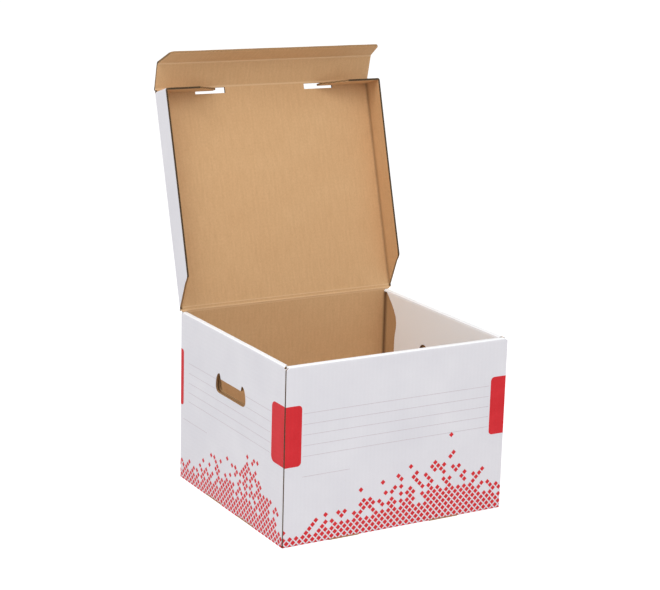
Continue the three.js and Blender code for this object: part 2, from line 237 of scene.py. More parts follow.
class Graph:
    """A short way to write a material's nodes."""

    def __init__(self, name):
        self.material = bpy.data.materials.new(name)
        self.material.use_nodes = True
        self.nodes = self.material.node_tree.nodes
        self.links = self.material.node_tree.links
        self.nodes.clear()
        self.shader = self.nodes.new("ShaderNodeBsdfPrincipled")
        output = self.nodes.new("ShaderNodeOutputMaterial")
        self.links.new(self.shader.outputs[0], output.inputs[0])
        self.uv = self.nodes.new("ShaderNodeUVMap")
        self.uv.uv_map = "board"

    def put(self, value, socket):
        if hasattr(value, "links"):
            self.links.new(value, socket)
        else:
            socket.default_value = value

    def math(self, operation, a, b=0.0, c=0.0, clamp=False):
        node = self.nodes.new("ShaderNodeMath")
        node.operation = operation
        node.use_clamp = clamp
        for value, socket in zip((a, b, c), node.inputs):
            self.put(value, socket)
        return node.outputs[0]

    def scaled(self, vector, factors):
        node = self.nodes.new("ShaderNodeVectorMath")
        node.operation = "MULTIPLY"
        self.put(vector, node.inputs[0])
        node.inputs[1].default_value = factors
        return node.outputs[0]

    def noise(self, factors, detail, roughness=0.55):
        node = self.nodes.new("ShaderNodeTexNoise")
        node.inputs["Scale"].default_value = 1.0
        node.inputs["Detail"].default_value = detail
        node.inputs["Roughness"].default_value = roughness
        self.links.new(self.scaled(self.uv.outputs[0], factors), node.inputs["Vector"])
        return node.outputs["Fac"]

    def cells(self, factors):
        node = self.nodes.new("ShaderNodeTexVoronoi")
        node.inputs["Scale"].default_value = 1.0
        self.links.new(self.scaled(self.uv.outputs[0], factors), node.inputs["Vector"])
        return node.outputs["Distance"]

    def ramp(self, value, stops):
        node = self.nodes.new("ShaderNodeValToRGB")
        ramp = node.color_ramp
        while len(ramp.elements) < len(stops):
            ramp.elements.new(0.5)
        for element, (at, colour) in zip(ramp.elements, stops):
            element.position = at
            element.color = colour
        self.links.new(value, node.inputs[0])
        return node.outputs[0]

    def mix(self, factor, a, b):
        node = self.nodes.new("ShaderNodeMix")
        node.data_type = "RGBA"
        self.put(factor, node.inputs[0])
        self.put(a, node.inputs[6])
        self.put(b, node.inputs[7])
        return node.outputs[2]

    def span(self, value, low, high, to_low, to_high):
        node = self.nodes.new("ShaderNodeMapRange")
        for index, number in zip(range(1, 5), (low, high, to_low, to_high)):
            node.inputs[index].default_value = number
        self.links.new(value, node.inputs[0])
        return node.outputs[0]

    def across(self):
        """The board coordinates: across and along the flutes, or on a cut along it and through it."""
        node = self.nodes.new("ShaderNodeSeparateXYZ")
        self.links.new(self.uv.outputs[0], node.inputs[0])
        return node.outputs[0], node.outputs[1]

    def flutes(self, sharpness):
        """0 in the valleys between the flutes and 1 on their tips, where the liner is glued."""
        u, _ = self.across()
        wobble = self.math("MULTIPLY", self.noise((9, 3, 1), detail=1.0), 0.9)
        phase = self.math("ADD", self.math("MULTIPLY", u, 2 * math.pi / (FLUTE_PITCH * MM)), wobble)
        wave = self.math("MULTIPLY_ADD", self.math("SINE", phase), 0.5, 0.5)
        return self.math("POWER", wave, sharpness)

    def bump(self, height, distance, strength, normal=None):
        node = self.nodes.new("ShaderNodeBump")
        node.inputs["Strength"].default_value = strength
        node.inputs["Distance"].default_value = distance
        self.links.new(height, node.inputs["Height"])
        if normal is not None:
            self.links.new(normal, node.inputs["Normal"])
        return node.outputs[0]

    def attribute(self, name):
        node = self.nodes.new("ShaderNodeAttribute")
        node.attribute_name = name
        return node.outputs["Fac"]

    def finish(self, colour, roughness, normal, specular):
        self.put(colour, self.shader.inputs["Base Color"])
        self.put(roughness, self.shader.inputs["Roughness"])
        self.shader.inputs["Specular IOR Level"].default_value = specular
        self.links.new(normal, self.shader.inputs["Normal"])
        return self.material


def white_liner():
    """The board's white side: faint flutes, fibres and flecks, with painted shade at the scored lines and
    painted light on some faces.
    """
    g = Graph("white_liner")
    flutes = g.flutes(1.0)
    cloud = g.noise((14, 14, 1), detail=3.0)
    fibre = g.noise((900, 260, 1), detail=4.0, roughness=0.7)
    fleck = g.span(g.cells((210, 210, 1)), 0.02, 0.06, 1.0, 0.0)
    base = g.ramp(cloud, [(0.3, linear(228, 227, 233)), (0.7, linear(234, 233, 238))])
    base = g.mix(g.math("MULTIPLY", g.span(flutes, 0.0, 1.0, 1.0, 0.0), 0.016), base, linear(150, 148, 152))
    base = g.mix(g.span(fibre, 0.35, 0.75, 0.0, 0.10), base, linear(200, 198, 200))
    base = g.mix(g.math("MULTIPLY", fleck, 0.10), base, linear(150, 138, 120))
    # Painted shade at the scored lines.
    base = g.mix(g.math("MULTIPLY", g.attribute("score"), 0.30), base, linear(196, 193, 196))
    # Painted light: white faces marked pale are lightened to near white.
    base = g.mix(g.attribute("pale"), base, linear(250, 252, 255))
    rough = g.span(fibre, 0.3, 0.7, 0.52, 0.66)
    normal = g.bump(flutes, 0.000012, 0.5)
    normal = g.bump(fibre, 0.00002, 0.35, normal)
    return g.finish(base, rough, normal, 0.3)


def kraft_liner():
    """The board's brown side: streaks, mottle, fibres and flecks, with painted shade in the inner folds and
    a painted highlight at the scored lines.
    """
    g = Graph("kraft_liner")
    flutes = g.flutes(1.4)
    cloud = g.noise((9, 16, 1), detail=4.0)
    streak = g.noise((240, 34, 1), detail=4.0, roughness=0.65)
    fibre = g.noise((1500, 420, 1), detail=4.0, roughness=0.75)
    fleck = g.span(g.cells((330, 240, 1)), 0.03, 0.11, 1.0, 0.0)
    pale = g.span(g.cells((270, 190, 1)), 0.02, 0.08, 1.0, 0.0)
    base = g.ramp(cloud, [(0.25, linear(214, 172, 126)), (0.55, linear(217, 176, 130)),
                          (0.8, linear(220, 180, 134))])
    base = g.mix(g.span(streak, 0.35, 0.75, 0.0, 0.26), base, linear(180, 137, 92))
    mottle = g.noise((360, 300, 1), detail=3.0, roughness=0.7)
    base = g.mix(g.span(mottle, 0.38, 0.66, 0.0, 0.22), base, linear(176, 132, 88))
    base = g.mix(g.span(flutes, 0.0, 1.0, 0.022, 0.0), base, linear(150, 108, 68))
    base = g.mix(g.span(fibre, 0.4, 0.8, 0.0, 0.22), base, linear(226, 190, 150))
    base = g.mix(g.math("MULTIPLY", fleck, 0.28), base, linear(120, 84, 52))
    base = g.mix(g.math("MULTIPLY", pale, 0.22), base, linear(232, 203, 166))
    # Painted highlight at the scored lines and on the crease ridges.
    crease_highlight = g.math("MULTIPLY", g.attribute("score"), g.span(streak, 0.3, 0.7, 0.45, 0.75))
    base = g.mix(crease_highlight, base, linear(240, 206, 164))
    # Painted shade in the inner folds.
    base = g.mix(g.math("MULTIPLY", g.attribute("fold"), 0.75), base, linear(92, 62, 36))
    rough = g.span(fibre, 0.3, 0.7, 0.72, 0.86)
    normal = g.bump(flutes, 0.000028, 0.5)
    normal = g.bump(fibre, 0.00003, 0.5, normal)
    return g.finish(base, rough, normal, 0.15)


def cut_edge():
    """A cut through the board: two liners and the fluting between them, across or along the cut. The hollows
    between the fluting get a painted shade, darkest where the cut runs along the flutes.
    """
    g = Graph("cut_edge")
    u, v = g.across()
    crossing = g.attribute("wave")
    phase = g.math("MULTIPLY", u, 2 * math.pi / (FLUTE_PITCH * MM))
    middle = g.math("MULTIPLY_ADD", g.math("SINE", phase), 0.36, 0.5)
    paper = g.span(g.math("ABSOLUTE", g.math("SUBTRACT", v, middle)), 0.05, 0.13, 1.0, 0.0)
    sides = g.span(g.math("ABSOLUTE", g.math("SUBTRACT", v, 0.5)), 0.40, 0.45, 0.0, 1.0)
    sides = g.math("MULTIPLY", sides, g.span(crossing, 0.0, 1.0, 0.12, 1.0))
    torn = g.noise((520, 3.0, 1), detail=3.0)
    broken = g.span(torn, 0.46, 0.66, 0.0, 0.20)
    inside = g.math("ADD", g.math("MULTIPLY", paper, crossing),
                    g.math("MULTIPLY", broken, g.math("SUBTRACT", 1.0, crossing)), clamp=True)
    # Painted light: where a cut is marked pale, its painted hollow shade gives way to pulp colour.
    solid = g.math("MAXIMUM", g.math("MAXIMUM", inside, sides), g.attribute("pale"))
    fibre = g.noise((1400, 8, 1), detail=3.0)
    pulp = g.ramp(fibre, [(0.3, linear(168, 128, 88)), (0.7, linear(204, 164, 120))])
    # Painted shade in the flute hollows, darker on cuts along the flutes.
    painted_hollow_shade = g.mix(crossing, linear(66, 54, 40), linear(124, 94, 62))
    base = g.mix(solid, painted_hollow_shade, pulp)
    normal = g.bump(g.math("ADD", solid, g.math("MULTIPLY", fibre, 0.3)), 0.0003, 0.6)
    return g.finish(base, 0.85, normal, 0.1)


def ink(name, colour, spread):
    """Flat print on the white side, in which the flutes and fibres still show."""
    g = Graph(name)
    flutes = g.flutes(1.0)
    cloud = g.noise((40, 40, 1), detail=3.0)
    fibre = g.noise((1100, 300, 1), detail=4.0, roughness=0.7)
    low = linear(*[max(0, c - spread) for c in colour])
    high = linear(*[min(255, c + spread) for c in colour])
    base = g.ramp(cloud, [(0.3, low), (0.7, high)])
    base = g.mix(g.span(flutes, 0.0, 1.0, 0.05, 0.0), base, linear(*[c * 0.7 for c in colour]))
    base = g.mix(g.span(fibre, 0.5, 0.85, 0.0, 0.05), base, linear(236, 226, 226))
    normal = g.bump(flutes, 0.00004, 0.6)
    normal = g.bump(fibre, 0.00002, 0.3, normal)
    return g.finish(base, g.span(fibre, 0.3, 0.7, 0.50, 0.62), normal, 0.22)


WHITE = white_liner()
KRAFT = kraft_liner()
CUT = cut_edge()
RED = ink("red_print", (216, 38, 47), 4)
GREY = ink("grey_print", (206, 194, 201), 4)
FACES = [WHITE, KRAFT, CUT]
ON_WHITE, ON_KRAFT, ON_CUT = range(3)


# The plies, for telling faces apart

class Ply:
    """A flat stretch of board, from low to high along axis, in the region that test allows.

    white is the sign of its white side, flute the axis that its flutes run along, and stripes the
    axis that crosses them. A mirrored ply lies on both sides of the box."""

    def __init__(self, axis, low, high, white, flute, stripes, test, mirror=False):
        self.axis, self.low, self.high = axis, low, high
        self.white, self.flute, self.stripes = white, flute, stripes
        self.test, self.mirror = test, mirror


def side(c):
    """The sign of x: 1 on the right and -1 on the left."""
    return 1.0 if c[X] >= 0 else -1.0


TRAY_PLIES = [
    Ply(X, *OUTER_PLY, 1, Y, Z, lambda c: c[Y] > OUTER_START and FLOOR_TOP < c[Z], mirror=True),
    Ply(X, *INNER_PLY, -1, Y, Z, lambda c: c[Y] > INNER_START and c[Z] < ROLL_FOOT, mirror=True),
    Ply(X, *BACK_FLAP_PLY, 1, Z, Y, lambda c: c[Y] > BACK_FLAP_START and c[Z] < TAB_TOP, mirror=True),
    Ply(X, *TONGUE_PLY, 1, Y, Z, lambda c: abs(c[Y]) < HOLE_HALF and TONGUE_FOOT < c[Z] < HOLE_TOP,
        mirror=True),
    Ply(Y, *FRONT_OUTER_PLY, -1, Z, X, lambda c: True),
    Ply(Y, *FRONT_INNER_PLY, 1, Z, X, lambda c: c[Z] < ROLL_FOOT),
    Ply(Y, *FRONT_TAB_PLY, -1, X, Z, lambda c: abs(c[X]) > FRONT_TAB_START and c[Z] < TAB_TOP),
    Ply(Y, *BACK_PLY, 1, Z, X, lambda c: abs(c[X]) < WITHIN_SIDES),
    Ply(Z, TRAY_HEIGHT - BOARD, TRAY_HEIGHT, 1, Y, X, lambda c: True),
    Ply(Z, 0.0, BOARD, -1, Y, X, lambda c: True),
]
LID_PLIES = [
    Ply(Z, -BOARD / 2, BOARD / 2, 1, Y, X, lambda c: True),
    Ply(X, LID_HALF - BOARD, LID_HALF, 1, Y, Z, lambda c: c[Y] > LID_FRONT_PLY[0] - 1, mirror=True),
    Ply(Y, *LID_FRONT_PLY, -1, X, Z, lambda c: c[Z] < -BOARD / 2 - 0.1),
]
FLAP_PLIES = [Ply(Z, CREASE_IN, CREASE_OUT, 1, Y, X, lambda c: True)]


def tray_arc_white(c, n):
    """Whether a face of a rolled fold of the tray is on the white side."""
    rolled_top, foot_fold, tongue_fold = c[Z] > 259, c[Z] < 4, abs(c[Y]) < 50
    if rolled_top:
        return n[Z] > 0
    if foot_fold or tongue_fold:
        return n[Z] < 0
    return n[Y] * (1 if c[Y] > 0 else -1) > 0


def lid_arc_white(c, n):
    """Whether a face of a rolled fold of the lid is on the white side."""
    if c[Z] > -5:
        return n[Z] > 0
    return n[Y] < 0


# Board meshes

def both_sides(*values):
    return values + tuple(-value for value in values)


def cut_positions(low, high, keep=()):
    """Even cuts about a cell apart between low and high, and those to keep, in order."""
    count = max(1, int(round((high - low) / CELL)))
    values = [low + (high - low) * i / count for i in range(1, count)]
    return sorted(values + list(keep))


def bisect(bm, axis, value, clear_outer=False, clear_inner=False):
    """Cuts the mesh where the axis has this value, and clears the part beyond or before it."""
    normal = [0.0, 0.0, 0.0]
    normal[axis] = 1.0
    point = [0.0, 0.0, 0.0]
    point[axis] = value
    bmesh.ops.bisect_plane(
        bm, geom=bm.verts[:] + bm.edges[:] + bm.faces[:], dist=1e-4, plane_co=point,
        plane_no=normal, clear_outer=clear_outer, clear_inner=clear_inner)


# A face's normal lies along an axis from here on, and a ply's faces may stray this far
FLAT = 0.97
AXIAL = 0.995
PLY_PLAY = 0.09


def wall_foot(c, n):
    """The outer face of a side wall's foot, beside the floor's ply."""
    outside = abs(c[X]) > HALF_WIDTH - 0.2 and abs(n[X]) > FLAT
    return outside and c[Z] < FOOT_TOP and c[Y] > FRONT_TAB_PLY[0]


def classify(face, plies, arc_white):
    """(material, ply or None, whether the cut shows the flutes end on) of a face."""
    n = np.array(face.normal)
    co = np.array([v.co for v in face.verts])
    c = co.mean(0)
    s = side(c)
    found = []
    if plies is TRAY_PLIES and wall_foot(c, n):
        return ON_WHITE, plies[0], 0.0
    for ply in plies:
        if not ply.test(c):
            continue
        flip = s if ply.mirror else 1.0
        low = (co[:, ply.axis] * flip).min()
        high = (co[:, ply.axis] * flip).max()
        if low < ply.low - PLY_PLAY or high > ply.high + PLY_PLAY:
            continue
        along = n[ply.axis] * flip
        if abs(along) > FLAT:
            return (ON_WHITE if along * ply.white > 0 else ON_KRAFT), ply, 0.0
        found.append((abs(along), ply))
    folded = ON_WHITE if arc_white(c, n) else ON_KRAFT
    if abs(n).max() < AXIAL and not found:
        return folded, None, 0.0
    if not found:
        return ON_CUT, None, 0.0
    square = [ply for along, ply in found if along < 0.1]
    if not square:
        return folded, found[0][1], 0.0
    ply = square[0]
    return ON_CUT, ply, 1.0 if abs(n[ply.flute]) > 0.5 else 0.0


def painted_light_amount(face, material, plies):
    """How much painted light a face gets: how far a cut's painted hollow shade is filled in, or how far a
    white face is lightened to near white.
    """
    x, y, z = face.calc_center_median()
    if material == ON_CUT:
        # Painted light on cut edges: the flaps' edges, which lie in shade, and the up-facing rim of the hand
        # holes.
        if plies is FLAP_PLIES:
            return FLAP_CUT_PAINTED_LIGHT
        rim = abs(x) > 170 and abs(y) < HOLE_HALF and HOLE_FOOT < z < HOLE_TOP
        return RIM_PAINTED_LIGHT if rim and face.normal.z > 0.3 else 0.0
    if material == ON_WHITE:
        # Painted light on the inner ply's white inner face, and a painted highlight on the rolled top's
        # up-facing faces.
        inner = abs(abs(x) - INNER_PLY[0]) < 0.2 and abs(face.normal.x) > 0.9
        rolled = z > TRAY_HEIGHT - 1.6 and face.normal.z > 0.5
        return INNER_PAINTED_LIGHT if inner or rolled else 0.0
    return 0.0


def paint(bm, plies, arc_white):
    """Gives each face its material, board coordinates, kind of cut and painted light."""
    uv = bm.loops.layers.uv.new("board")
    wave = bm.loops.layers.float.new("wave")
    pale = bm.loops.layers.float.new("pale")
    for face in bm.faces:
        material, ply, crossing = classify(face, plies, arc_white)
        painted_light_share = painted_light_amount(face, material, plies)
        face.material_index = material
        face.smooth = True
        n = [abs(k) for k in face.normal]
        if ply is None:
            across, along = (Z, Y) if n[Y] < 0.3 else (X, Z)
            shift = 0.7
        else:
            across = ply.stripes
            along = ({X, Y, Z} - {ply.axis, ply.stripes}).pop()
            shift = 0.9 * plies.index(ply)
        for loop in face.loops:
            co = loop.vert.co
            loop[wave] = crossing
            loop[pale] = painted_light_share
            if material == ON_CUT:
                thickness = 0.5
                spans = [max(v.co[k] for v in face.verts) - min(v.co[k] for v in face.verts)
                         for k in (X, Y, Z)]
                if ply is not None:
                    flip = side(co) if ply.mirror else 1.0
                    thickness = (co[ply.axis] * flip - ply.low) / (ply.high - ply.low)
                    spans[ply.axis] = -1
                loop[uv].uv = (co[spans.index(max(spans))] * MM, thickness)
            else:
                loop[uv].uv = (co[across] * MM + shift, co[along] * MM + shift * 0.37)


def board_object(name, node, place, cuts, plies, arc_white, trim, warp, body):
    """The CAD node's board again, cut into cells, bowed a little and painted face by face."""
    bm = bmesh.new()
    bm.from_mesh(frame["nodes"][node].data)
    bmesh.ops.remove_doubles(bm, verts=bm.verts, dist=2e-6)
    for vert in bm.verts:
        vert.co = Vector(place.back(np.array(vert.co) / MM))
    bmesh.ops.dissolve_limit(bm, angle_limit=math.radians(0.5), verts=bm.verts, edges=bm.edges)
    trim(bm)
    for axis, values in cuts:
        for value in values:
            bisect(bm, axis, value)
    bm.normal_update()
    paint(bm, plies, arc_white)
    warp(bm)
    bmesh.ops.triangulate(bm, faces=[f for f in bm.faces if len(f.verts) > 4])
    for vert in bm.verts:
        vert.co = Vector(place.out(np.array(vert.co))) * MM
    publish(bm, name, body, node)


def publish(bm, name, body, node=None):
    """Makes the object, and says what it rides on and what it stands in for."""
    mesh = bpy.data.meshes.new(name)
    bm.to_mesh(mesh)
    bm.free()
    for material in FACES:
        mesh.materials.append(material)
    mesh.set_sharp_from_angle(angle=math.radians(32))
    obj = bpy.data.objects.new(name, mesh)
    bpy.context.scene.collection.objects.link(obj)
    weighted = obj.modifiers.new("weighted", "WEIGHTED_NORMAL")
    weighted.keep_sharp = True
    weighted.weight = 80
    if body:
        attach(obj, body)
    if node:
        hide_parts(node)
    return obj


# Small bows of the panels

def hump(value, low, high):
    """0 at low and high and 1 half way between them."""
    t = (value - low) / (high - low)
    return math.sin(math.pi * min(1.0, max(0.0, t)))


def near(value, at, reach):
    """1 at a place, falling to 0 at reach from it."""
    return min(1.0, max(0.0, 1 - abs(value - at) / reach))


def ripple(a, b, scale, seed):
    """Smooth noise between -1 and 1, the same in each run."""
    return noise.noise(Vector((a / scale, b / scale, seed)))


def tray_warp_at(p):
    """How far a point of the tray has moved from its drawn place. Walls only bow inwards."""
    x, y, z = p
    dx = dy = dz = 0.0
    front = near(y, -HALF_DEPTH, 11.0) > 0
    back = y > BACK_PLY[0] - 0.5 and abs(x) < WITHIN_SIDES
    wall = abs(x) > INNER_PLY[0] - 0.2 and not front
    rise = hump(z, 0, TRAY_HEIGHT - 1)
    if front:
        dy += FRONT_BOW * hump(x, -HALF_WIDTH, HALF_WIDTH) * hump(z, 0, TRAY_HEIGHT * 1.35)
        dy += FRONT_RIPPLE * (1 + ripple(x, z, 60, 3.1)) * hump(x, -HALF_WIDTH, HALF_WIDTH) * rise
    if back:
        dy -= BACK_BOW * hump(x, -HALF_WIDTH, HALF_WIDTH) * hump(z, 0, TRAY_HEIGHT)
    if wall:
        s = side(p)
        dx -= s * SIDE_BOW * hump(y, -HALF_DEPTH, HALF_DEPTH) * hump(z, 0, TRAY_HEIGHT * 1.3)
        dx -= s * SIDE_RIPPLE * (1 + ripple(y, z, 55, 7.7)) * hump(y, -HALF_DEPTH, HALF_DEPTH) * rise
    if z > 255:
        dz -= TOP_SAG * (1 + ripple(x, y, 45, 1.3)) * (1 if abs(x) > 173 or y < -150 else 0)
    return Vector((dx, dy, dz))


def warp_tray(bm):
    score = bm.verts.layers.float.new("score")
    fold = bm.verts.layers.float.new("fold")
    for vert in bm.verts:
        x, y, z = vert.co
        # Painted shade on the back flaps' inner faces, darkest in their corner at the back wall.
        if BACK_FLAP_PLY[0] - 1.2 < abs(x) < BACK_FLAP_PLY[0] + 0.1:
            vert[fold] = BACK_FOLD_SHADE if y > BACK_PLY[0] - 1.4 else FLAP_FOLD_SHADE
        # Painted shade and highlight along the back wall's top crease.
        if z > TRAY_HEIGHT - 0.3 and y > BACK_PLY[0] - 1.0 and abs(x) < WITHIN_SIDES:
            vert[score] = 1.0
    moves = {}
    for vert in bm.verts:
        white = [f for f in vert.link_faces if f.material_index == ON_WHITE]
        move = tray_warp_at(vert.co)
        x, y, z = vert.co
        outer = abs(x) > WITHIN_SIDES or y < FRONT_OUTER_PLY[1] + 0.1 or y > HALF_DEPTH - 0.1 or z < 0.1
        if white and outer and z < TAB_TOP:
            move = move - vert.normal * INK_ROOM
        moves[vert] = move
    for vert, move in moves.items():
        vert.co += move


def warp_lid(bm):
    """The lid's panel sags a little, is dented at its scored line, and its side flaps lean in. Its inner
    folds get painted shade, and its scored line gets painted shade on the white side and a painted highlight
    on the kraft side.
    """
    score = bm.verts.layers.float.new("score")
    fold = bm.verts.layers.float.new("fold")
    for vert in bm.verts:
        x, y, z = vert.co
        # Painted shade along the inner folds of the side flaps.
        if LID_HALF - 4.2 < abs(x) < LID_HALF - 2.7 and -3.6 < z < -1.4:
            vert[fold] = LID_FOLD_SHADE
        # The scored line gets painted shade on the white side and a painted highlight on the kraft side.
        if abs(y + HINGE_SCORE) < 0.05:
            vert[score] = 1.0
            if -1.6 < z < 0:
                vert.co.z -= SCORE_DENT
        bow = hump(x, -LID_HALF, LID_HALF) * hump(y, -LID_REACH, 0)
        vert.co.z += -LID_BOW * bow + LID_RIPPLE * ripple(x, y, 70, 5.5) * bow
        if z < -1.6 and abs(x) > LID_HALF - 4:
            vert.co.x -= side(vert.co) * SIDE_FLAP_LEAN * near(z, -40, 38) * hump(y, -330, -10)


def warp_flap(bm):
    """The free edge of a flap is never quite straight."""
    for vert in bm.verts:
        x, y, z = vert.co
        vert.co.z += FLAP_RIPPLE * ripple(x, 0.0, 38, 2.2) * near(y, -40, 30)


# Trimming for the crease strips

def trim_tray(bm):
    bisect(bm, Z, TRAY_HEIGHT + 0.001, clear_outer=True)


def trim_lid(bm):
    bisect(bm, Y, -(LID_REACH - LID_STRIP), clear_inner=True)


def trim_flap(bm):
    bisect(bm, Y, -FLAP_STRIP, clear_outer=True)
    bisect(bm, Y, -(FLAP_LENGTH - FLAP_STRIP), clear_inner=True)


def trim_tuck(bm):
    bisect(bm, Y, -FLAP_STRIP, clear_outer=True)


tray_cuts = [
    (X, cut_positions(-HALF_WIDTH, HALF_WIDTH, both_sides(176.2, 178.0, 181.8))),
    (Y, cut_positions(-HALF_DEPTH, HALF_DEPTH, (-163.2, -160.0, 163.4))),
    (Z, cut_positions(0, TRAY_HEIGHT, (5.0, 258.0, 261.5))),
]
lid_cuts = [
    (X, cut_positions(-LID_HALF, LID_HALF, both_sides(181.0, 185.5))),
    (Y, cut_positions(-LID_REACH, 0, (-325.0, -HINGE_SCORE - 0.9, -HINGE_SCORE, -HINGE_SCORE + 0.9))),
    (Z, cut_positions(-39.5, 1.5, (-3.5,))),
]
flap_cuts = [
    (X, cut_positions(-LID_HALF, LID_HALF)),
    (Y, [-36.0, -27.0, -18.0, -9.0]),
]

board_object("tray_board", "tray", TRAY_PLACE, tray_cuts, TRAY_PLIES, tray_arc_white,
             trim_tray, warp_tray, "tray")
board_object("lid_board", "lid", LID_PLACE, lid_cuts, LID_PLIES, lid_arc_white,
             trim_lid, warp_lid, "lid")
board_object("front_flap_board", "lid_front_flap", FLAP_PLACE, flap_cuts, FLAP_PLIES,
             lid_arc_white, trim_flap, warp_flap, "front_flap")
board_object("tuck_flap_board", "lid_tuck_flap", TUCK_PLACE, flap_cuts, FLAP_PLIES,
             lid_arc_white, trim_tuck, warp_flap, "tuck_flap")


# Strips of scored board across the creases

def swell(share, at, width):
    """1 at a place, falling off softly to both sides."""
    return math.exp(-((share - at) / width) ** 2)


def crease(name, place, bend, reach_a, reach_b, inner, outer, half_a, half_b):
    """A strip of scored board across a crease. It starts square to board a and ends square to board b.

    place puts the crease's line at the origin, with board a towards +Y and its outside towards +Z."""
    rows = [(-reach_a * step, 0.0) for step in reversed(STRIP_STEPS)]
    rows += [(0.0, bend * k / STRIP_TURNS) for k in range(STRIP_TURNS + 1)]
    rows += [(reach_b * step, bend) for step in STRIP_STEPS]
    columns = STRIP_COLUMNS
    count = columns + 1
    bm = bmesh.new()
    uv = bm.loops.layers.uv.new("board")
    wave = bm.loops.layers.float.new("wave")
    score = bm.verts.layers.float.new("score")
    grid = []
    runs = []
    for index, (s, phi) in enumerate(rows):
        share = index / (len(rows) - 1)
        dented = swell(share, 0.5, DENT_WIDTH)
        top = outer - DENT * dented
        ridged = sum(swell(share, at, RIDGE_WIDTH) for at in RIDGE_PLACES)
        low = inner - RIDGE * ridged
        a = math.radians(phi)
        heading = np.array([0, -math.cos(a), -math.sin(a)])
        up = np.array([0, -math.sin(a), math.cos(a)])
        half = half_a + (half_b - half_a) * share
        line = []
        for level in (top, (top + low) / 2, low):
            for i in range(count):
                p = heading * s + up * level
                p[0] = -half + 2 * half * i / columns
                vert = bm.verts.new(Vector(p))
                # Painted shade in the dent outside and a painted highlight on the ridges inside.
                vert[score] = dented if level == top else ridged
                line.append(vert)
        grid.append(line)
        runs.append(s + math.radians(phi) * (inner + outer) / 2)

    def quad(verts, material, coords, crossing=0.0):
        face = bm.faces.new(verts)
        face.material_index = material
        face.smooth = True
        for loop, at in zip(face.loops, coords):
            loop[uv].uv = at
            loop[wave] = crossing

    for r in range(len(rows) - 1):
        here, there = grid[r], grid[r + 1]
        for i in range(columns):
            xs = [here[i].co.x * MM, here[i + 1].co.x * MM]
            va, vb = runs[r] * MM, runs[r + 1] * MM
            quad([here[i], there[i], there[i + 1], here[i + 1]], ON_WHITE,
                 [(xs[0], va), (xs[0], vb), (xs[1], vb), (xs[1], va)])
            k = 2 * count + i
            quad([here[k], here[k + 1], there[k + 1], there[k]], ON_KRAFT,
                 [(xs[0], va), (xs[1], va), (xs[1], vb), (xs[0], vb)])
        for first, flip in ((0, False), (columns, True)):
            for level in range(2):
                k = level * count + first
                j = (level + 1) * count + first
                verts = [here[k], here[j], there[j], there[k]]
                if flip:
                    verts.reverse()
                coords = [(runs[r] * MM, 1 - level / 2), (runs[r] * MM, 0.5 - level / 2),
                          (runs[r + 1] * MM, 0.5 - level / 2), (runs[r + 1] * MM, 1 - level / 2)]
                if flip:
                    coords.reverse()
                quad(verts, ON_CUT, coords)
    for line, flip in ((grid[0], False), (grid[-1], True)):
        for i in range(columns):
            for level in range(2):
                k, j = level * count + i, (level + 1) * count + i
                verts = [line[k], line[k + 1], line[j + 1], line[j]]
                if flip:
                    verts.reverse()
                quad(verts, ON_CUT, [(v.co.x * MM, 0.5) for v in verts], 1.0)
    bm.normal_update()
    for vert in bm.verts:
        vert.co = Vector(place.out(np.array(vert.co))) * MM
    obj = publish(bm, name, None)
    half_turn = math.radians(bend / 2)
    along = np.array([0, -math.cos(half_turn), -math.sin(half_turn)])
    start = place.out(along * -reach_a * math.cos(half_turn)) * MM
    end = place.out(along * reach_b * math.cos(half_turn)) * MM
    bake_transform(obj)


WALL_TOP_PLACE = Place(turn_x(-90), HINGE)
crease(
    "hinge_crease", WALL_TOP_PLACE, LID_OPEN + 90, HINGE_REACH, HINGE_REACH,
    -BOARD / 2, BOARD / 2, HALF_WIDTH - 0.5, LID_HALF - 0.1)


# Print

def stretch(value, table):
    """The height that a table of points has at value, on straight lines between them."""
    for (a, fa), (b, fb) in zip(table, table[1:]):
        if value <= b:
            t = min(1.0, max(0.0, (value - a) / (b - a)))
            return fa + (fb - fa) * t
    return table[-1][1]


class Face:
    """A printed face of the tray. (u, h) are millimetres along it and up it.

    h runs on round the bottom fold of the front and back walls; the side walls' feet are square."""

    def __init__(self, at, direction, normal, low, high, seed, slots):
        self.slots = slots
        self.square_foot = abs(normal[0]) > 0.5
        self.at = np.array(at, float)
        self.direction = np.array(direction, float)
        self.normal = np.array(normal, float)
        self.low, self.high, self.seed = low, high, seed

    def point(self, u, h):
        p = self.at + self.direction * u
        if h < FOLD_RADIUS and not self.square_foot:
            arc = min(1.0, (FOLD_RADIUS - h) / (FOLD_RADIUS * math.pi / 2)) * FOLD_STEPS
            k = min(FOLD_STEPS - 1, int(arc))
            a, b = [math.radians(90.0 * j / FOLD_STEPS) for j in (k, k + 1)]
            f = arc - k
            out = (math.cos(a) * (1 - f) + math.cos(b) * f) * FOLD_RADIUS - FOLD_RADIUS
            up = FOLD_RADIUS - (math.sin(a) * (1 - f) + math.sin(b) * f) * FOLD_RADIUS
            return p + self.normal * out + np.array([0, 0, up])
        return p + np.array([0, 0, h])


FRONT = Face((0, -HALF_DEPTH, 0), (1, 0, 0), (0, -1, 0), -HALF_WIDTH + 0.05, HALF_WIDTH - 0.05, 11,
             FRONT_SLOTS)
LEFT = Face((-HALF_WIDTH, 0, 0), (0, -1, 0), (-1, 0, 0), -HALF_DEPTH + 0.1, SIDE_PRINT_END, 23,
            SIDE_SLOTS)
RIGHT = Face((HALF_WIDTH, 0, 0), (0, -1, 0), (1, 0, 0), -HALF_DEPTH + 0.1, SIDE_PRINT_END, 23,
             SIDE_SLOTS)
BACK = Face((0, HALF_DEPTH, 0), (-1, 0, 0), (0, 1, 0), -BACK_PRINT_END, BACK_PRINT_END, 37, ())


